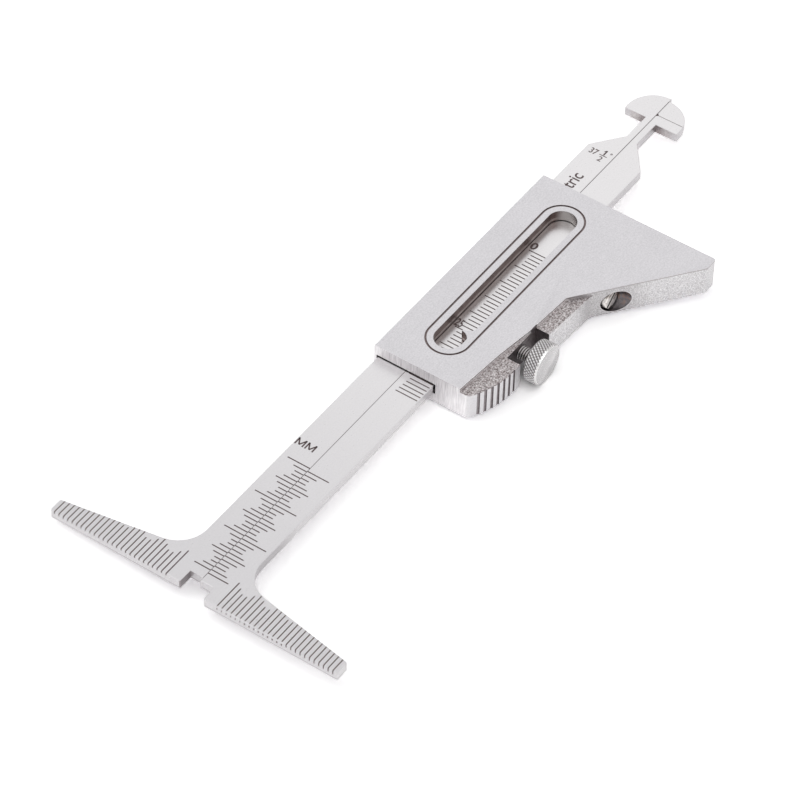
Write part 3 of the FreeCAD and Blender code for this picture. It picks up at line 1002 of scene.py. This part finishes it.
def add_turned_tick(bm, front, length, y, drop):
    """Line that turns down over the rounded front edge and ends this far below it."""
    outer = [Vector((front + length, BLADE_TOP + MARK_RISE))]
    inner = [Vector((front + length, BLADE_TOP - MARK_SINK))]
    centre = Vector((front + FRONT_SETBACK + EDGE_ROUNDING, BLADE_TOP - EDGE_ROUNDING))
    for step in range(BEND_STEPS + 1):
        turn = math.radians(90) * step / BEND_STEPS
        direction = Vector((-math.sin(turn), math.cos(turn)))
        outer.append(centre + direction * (EDGE_ROUNDING + MARK_RISE))
        inner.append(centre + direction * (EDGE_ROUNDING - MARK_SINK))
    outer.append(outer[-1] - Vector((0, drop)))
    inner.append(inner[-1] - Vector((0, drop)))
    near, far = (
        [bm.verts.new((p.x, y + offset, p.y)) for p in outer + inner[::-1]]
        for offset in (-TICK_WIDTH / 2, TICK_WIDTH / 2)
    )
    total = len(near)
    for index in range(total):
        following = (index + 1) % total
        bm.faces.new((near[index], near[following], far[following], far[index]))
    for row, flip in ((near, False), (far, True)):
        for index in range(total // 2 - 1):
            quad = [row[index], row[index + 1], row[total - 2 - index], row[total - 1 - index]]
            bm.faces.new(quad[::-1] if flip else quad)


def make_wing_scale(name, side, front, tip_drop, body):
    """Millimetre lines along one wing, counted from its tip, which go on over its front.

    On the inner half of the right wing, whose side is -1, they stop at the rounded edge.
    """
    bm = bmesh.new()
    for count in range(1, WING_TICK_COUNT + 1):
        length = WING_TICK_LENGTHS[(WING_TICK_COUNT - count) % len(WING_TICK_LENGTHS)]
        length = min(length, wing_depth(count) - WING_TICK_MARGIN)
        y = side * (WING_HALF_SPAN - count)
        if side < 0 and count >= BROKEN_TICK_START:
            faint = count >= FAINT_TICK_START
            half_width = FAINT_TICK_HALF_WIDTH if faint else BROKEN_TICK_HALF_WIDTH
            add_broken_tick(bm, front, length, y, half_width)
        else:
            drop = tip_drop + (WING_TICK_DROP - tip_drop) * count / WING_TICK_COUNT
            add_turned_tick(bm, front, length, y, drop)
    return object_from(bm, name, INK, body)


def make_fine_scale(name, side, start, early, late, last, body):
    """Short lines out from the joint, one a millimetre, with each stretch's own lengthening."""
    bm = bmesh.new()
    for count in range(FINE_COUNT + 1):
        x = start - count
        added = late if count >= FINE_SHIFT_COUNT else early
        length = last if count == FINE_COUNT else FINE_LENGTHS[count % 10] + added
        add_tick(bm, (x, side * (JOINT_HALF_GAP + 0.02)), (x, side * length))
    return object_from(bm, name, INK, body)


def make_depth_scale():
    """Depth scale on the right blade, read at the index nib, longer again in its last lines."""
    bm = bmesh.new()
    for count in range(DEPTH_LINES):
        x = DEPTH_ZERO_X - count
        start = DEPTH_LONG_START if count % 5 == 0 else DEPTH_SHORT_START
        if count > DEPTH_LAST_SHORT:
            start = DEPTH_SHORT_START + DEPTH_LAST_GROWTH * (count - DEPTH_LAST_SHORT) / 5
        add_tick(bm, (x, start), (x, DEPTH_FINISH))
    return object_from(bm, "depth_scale", INK, "right_blade")


def make_lettering(name, text, low, high, turn, body, weight=0.0):
    """Etched lettering fitted into a rectangle on the blade top.

    turn is the angle in degrees from +X to the reading direction.
    """
    curve = bpy.data.curves.new(name + "_outline", "FONT")
    curve.body = text
    curve.size = 1.0
    curve.offset = weight
    curve.extrude = 0.5
    curve.resolution_u = 6
    source = bpy.data.objects.new(name + "_outline", curve)
    bpy.context.scene.collection.objects.link(source)
    bpy.context.view_layer.update()
    mesh = bpy.data.meshes.new_from_object(source)
    bm = bmesh.new()
    bm.from_mesh(mesh)
    bpy.data.objects.remove(source)
    bpy.data.meshes.remove(mesh)
    turned = Matrix.Rotation(math.radians(turn), 3, "Z")
    bmesh.ops.rotate(bm, cent=(0, 0, 0), matrix=turned, verts=bm.verts)
    for axis in (0, 1):
        values = [v.co[axis] for v in bm.verts]
        start, reach = min(values), max(values) - min(values)
        for v in bm.verts:
            v.co[axis] = low[axis] + (v.co[axis] - start) / reach * (high[axis] - low[axis])
    for v in bm.verts:
        v.co.z = BLADE_TOP + (MARK_RISE if v.co.z > 0 else -MARK_SINK)
    bmesh.ops.remove_doubles(bm, verts=bm.verts, dist=WELD_DISTANCE)
    return object_from(bm, name, INK, body)


def make_unit_marks():
    """The two capital letters of the unit, drawn from straight strokes."""
    bm = bmesh.new()
    height = LETTER_M_HEAD - LETTER_M_FOOT
    for right in LETTER_M_STARTS:
        points = [
            (LETTER_M_FOOT + up * height, right - along * LETTER_M_WIDTH)
            for along, up in LETTER_M
        ]
        for start, end in zip(points, points[1:]):
            add_tick(bm, start, end, LETTER_M_STROKE)
    return object_from(bm, "letters_mm", INK, "left_blade")


def make_half_marks():
    """The one, the bar and the degree ring of the angle 37 1/2."""
    bm = bmesh.new()
    for start, end, width in HALF_STROKES:
        add_tick(bm, start, end, width)
    ring_points = []
    for index in range(DEGREE_POINTS):
        turn = 2 * math.pi * index / DEGREE_POINTS
        x = DEGREE_CENTRE[0] + DEGREE_RADIUS * math.cos(turn)
        y = DEGREE_CENTRE[1] + DEGREE_RADIUS * math.sin(turn)
        ring_points.append(Vector((x, y)))
    for start, end in zip(ring_points, ring_points[1:] + ring_points[:1]):
        add_tick(bm, start, end, DEGREE_STROKE)
    return object_from(bm, "marks_half_degree", INK, "left_blade")


def make_hook_marks():
    """Scribed line across the right hook, with a small dark nick where it meets the joint."""
    bm = bmesh.new()
    add_tick(bm, *HOOK_STROKE)
    add_bar(bm, HOOK_NICK, BLADE_TOP - MARK_SINK, BLADE_TOP + MARK_RISE)
    return object_from(bm, "marks_right_hook", INK, "right_blade")


# ------------ blades

def is_rim(edge):
    """Whether an edge lies on the top or the bottom of a blade."""
    return level(edge, BLADE_TOP) or level(edge, BLADE_TOP - BLADE_THICKNESS)


def at_joint(edge):
    """Whether an edge lies where the two blades meet."""
    return all(abs(vertex.co.y) < JOINT_HALF_GAP + 0.01 for vertex in edge.verts)


def make_blade(name, body):
    """The blade with its rims rounded."""
    bm = copy_of(body)
    front = min(vertex.co.x for vertex in bm.verts)
    for vertex in bm.verts:
        if vertex.co.x < front + 0.001:
            vertex.co.x = front + FRONT_SETBACK
    round_edges(bm, lambda edge: is_rim(edge) and not at_joint(edge), EDGE_ROUNDING, 3)
    soften_shading(bm)
    piece = object_from(bm, name, BLADE_STEEL, body)
    weight_normals(piece)
    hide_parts(body)


# ------------ housing

def over_ledge(edge):
    """Whether an edge is the top of the step down to the ledge."""
    if not level(edge, FRONT_TOP):
        return False
    feet = (min(vertex.co.z for vertex in face.verts) for face in edge.link_faces)
    return any(abs(foot - LEDGE_TOP) < 0.02 for foot in feet)


def near_outline(edge):
    """Whether an edge belongs to the engraved outline."""
    for vertex in edge.verts:
        nearest = min(max(vertex.co.x, WINDOW_LEFT), WINDOW_RIGHT)
        reach = math.hypot(vertex.co.x - nearest, vertex.co.y - WINDOW_Y)
        if abs(reach - OUTLINE_RADIUS) > OUTLINE_HALF_WIDTH + 0.05:
            return False
    return True


def raise_grip_grooves(bm):
    """Makes the grip grooves as shallow as the photograph shows them."""
    centre = Vector(GRIP_CENTRE)
    floor_radius = GRIP_RADIUS - GRIP_GROOVE_DEPTH
    for vertex in bm.verts:
        across = Vector(vertex.co.xy) - centre
        on_floor = across.y < 0 and abs(across.length - floor_radius) < 0.03
        if on_floor and GROOVE_LIMIT < vertex.co.x < NOTCH_START:
            across *= (GRIP_RADIUS - SHALLOW_GROOVE) / floor_radius
            vertex.co.x, vertex.co.y = centre + across


def make_housing():
    """The housing with its rims rounded."""
    bm = copy_of("housing")
    raise_grip_grooves(bm)
    round_edges(bm, over_ledge, STEP_ROUNDING, 3)
    round_edges(
        bm, lambda edge: level(edge, FRONT_TOP) and not near_outline(edge), RIM_ROUNDING
    )
    round_edges(bm, lambda edge: level(edge, 0.0), RIM_ROUNDING)
    round_edges(bm, lambda edge: level(edge, LEDGE_TOP), LEDGE_ROUNDING, 1)
    soften_shading(bm)
    piece = object_from(bm, "housing_shell", HOUSING_STEEL, "body")
    weight_normals(piece)
    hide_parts("housing")


# ------------ thumb screw

def knurl_drop(turn, along):
    """How deep the crossed grooves are at a place on the head's side."""
    drop = 0.0
    for lean, share in ((1, KNURL_SHALLOW_SHARE), (-1, 1.0)):
        phase = turn * KNURLS / (2 * math.pi) + lean * along / KNURL_AXIAL_PITCH
        drop = max(drop, share - KNURL_STEEPNESS * abs(phase - round(phase)))
    return KNURL_DEPTH * max(0.0, drop)


def head_radius(turn, along, length):
    """Radius of the head this far from its inner face: knurled, and bevelled at both rims."""
    bevelled = HEAD_RADIUS - max(0.0, INNER_RIM - along, RIM - (length - along))
    return min(HEAD_RADIUS - knurl_drop(turn, along), bevelled)


def thread_radius(turn, y):
    """Radius of the shank's thread at a place."""
    phase = y / THREAD_PITCH - turn / (2 * math.pi)
    rise = abs(phase - math.floor(phase) - 0.5) * 2
    ends = min(1.0, (SHANK_END - y) / THREAD_RUN_OUT)
    return THREAD_RADIUS - THREAD_DEPTH * (1 - rise * ends)


def ring(y, radius_at, count):
    """Ring of points round the thumb screw's axis."""
    points = []
    for index in range(count):
        turn = 2 * math.pi * index / count
        radius = radius_at(turn)
        points.append((THUMB_X + radius * math.cos(turn), y, THUMB_Z + radius * math.sin(turn)))
    return points


def add_rings(bm, rings, start_y, end_y):
    """Skin over rings of points, closed at the ends by a fan on the screw's axis."""
    rows = [[bm.verts.new(point) for point in points] for points in rings]
    count = len(rows[0])
    for first, second in zip(rows, rows[1:]):
        for index in range(count):
            following = (index + 1) % count
            bm.faces.new((first[index], first[following], second[following], second[index]))
    for row, y in ((rows[0], start_y), (rows[-1], end_y)):
        middle = bm.verts.new((THUMB_X, y, THUMB_Z))
        for index in range(count):
            bm.faces.new((row[index], row[(index + 1) % count], middle))


def make_thumb_screw():
    """Knurled head with bright bevelled rims, and a threaded shank."""
    bm = bmesh.new()
    length = HEAD_INNER - HEAD_OUTER
    head = []
    for step in range(HEAD_STEPS + 1):
        along = length * step / HEAD_STEPS
        head.append(
            ring(
                HEAD_INNER - along,
                lambda turn: head_radius(turn, along, length),
                KNURLS * KNURL_POINTS,
            )
        )
    add_rings(bm, head, HEAD_INNER, HEAD_OUTER)
    shank_start = HEAD_INNER - SHANK_SINK
    shank = []
    for step in range(SHANK_STEPS + 1):
        y = shank_start + (SHANK_END - shank_start) * step / SHANK_STEPS
        shank.append(ring(y, lambda turn: thread_radius(turn, y), SHANK_POINTS))
    add_rings(bm, shank, shank_start, SHANK_END)
    soften_shading(bm, 30)
    piece = object_from(bm, "thumb_screw_knurled", THUMB_STEEL, "thumb_screw")
    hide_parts("thumb_screw")


# ------------ drag screw

def make_drag_screw():
    """Slotted set screw with softened edges, its outer end turned down and set in."""
    bm = copy_of("drag_screw")
    for cut in (NECK_START - NECK_SLOPE, NECK_START):
        bmesh.ops.bisect_plane(
            bm,
            geom=bm.verts[:] + bm.edges[:] + bm.faces[:],
            plane_co=(0, cut, 0),
            plane_no=(0, 1, 0),
        )
    for vertex in bm.verts:
        out = Vector((vertex.co.x - DRAG_X, vertex.co.z - DRAG_Z))
        on_neck = vertex.co.y < NECK_START - NECK_SLOPE / 2
        if on_neck and out.length > NECK_RADIUS:
            out *= NECK_RADIUS / out.length
            vertex.co.x, vertex.co.z = DRAG_X + out.x, DRAG_Z + out.y
        if vertex.co.y < NECK_START - 0.5:
            vertex.co.y += DRAG_SET_IN
    round_edges(bm, lambda edge: all(v.co.y < DRAG_FACE + 0.1 for v in edge.verts), RIM_ROUNDING)
    soften_shading(bm)
    piece = object_from(bm, "drag_screw_slotted", DRAG_STEEL, "drag_screw")
    weight_normals(piece)
    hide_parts("drag_screw")


# ------------ the scene

for item in list(bpy.data.objects):
    if item.name in ("Cube", "Light", "Camera"):
        bpy.data.objects.remove(item)
bpy.context.scene.view_settings.view_transform = "Standard"

HOUSING_STEEL = housing_steel()
BLADE_STEEL = blade_steel()
INK = etch_ink()
THUMB_STEEL = thumb_screw_steel()
DRAG_STEEL = drag_screw_steel()
BRASS = satin_metal("brass_turned", rgb(205, 172, 104), 0.35, (1, 8, 1))
SPRING_STEEL = satin_metal("spring_wire_steel", rgb(180, 180, 184), 0.3, (1, 1, 1))

place_camera()
make_floor()
make_world()
for lamp_settings in LAMPS:
    add_lamp(*lamp_settings)

make_housing()
make_blade("left_blade_steel", "left_blade")
make_blade("right_blade_steel", "right_blade")
make_thumb_screw()
make_drag_screw()
for node_name, finish in (
    ("clamp_pad", BRASS),
    ("drag_plunger", BRASS),
    ("drag_spring", SPRING_STEEL),
):
    frame["nodes"][node_name].material_slots[0].material = finish

make_depth_scale()
make_wing_scale("wing_scale_right", -1, RIGHT_WING_FRONT, RIGHT_TIP_DROP, "right_blade")
make_wing_scale(
    "wing_scale_left", 1, RIGHT_WING_FRONT + LEFT_BLADE_LEAD, LEFT_TIP_DROP, "left_blade"
)
make_fine_scale(
    "fine_scale_right", -1, start=-59.37, early=-0.26, late=0.38, last=4.45, body="right_blade"
)
make_fine_scale(
    "fine_scale_left", 1, start=-58.57, early=0.0, late=-0.57, last=3.6, body="left_blade"
)
make_lettering("letters_zero", "0", (12.12, -1.7), (14.05, -0.3), -90, "right_blade", 0.03)
make_lettering(
    "letters_twenty_five", "25", (-13.2, -1.8), (-11.1, -0.2), -90, "right_blade", 0.02
)
make_unit_marks()
make_lettering(
    "letters_thirty_seven", "37", (41.15, 3.42), (42.75, 5.12), -90, "left_blade", 0.01
)
make_half_marks()
make_hook_marks()
make_lettering("letters_half_two", "2", (40.1, 1.71), (41.5, 2.58), -90, "left_blade", 0.005)
make_lettering("letters_metric", "metric", (26.5, 1.85), (34.9, 4.3), 0, "left_blade", 0.008)
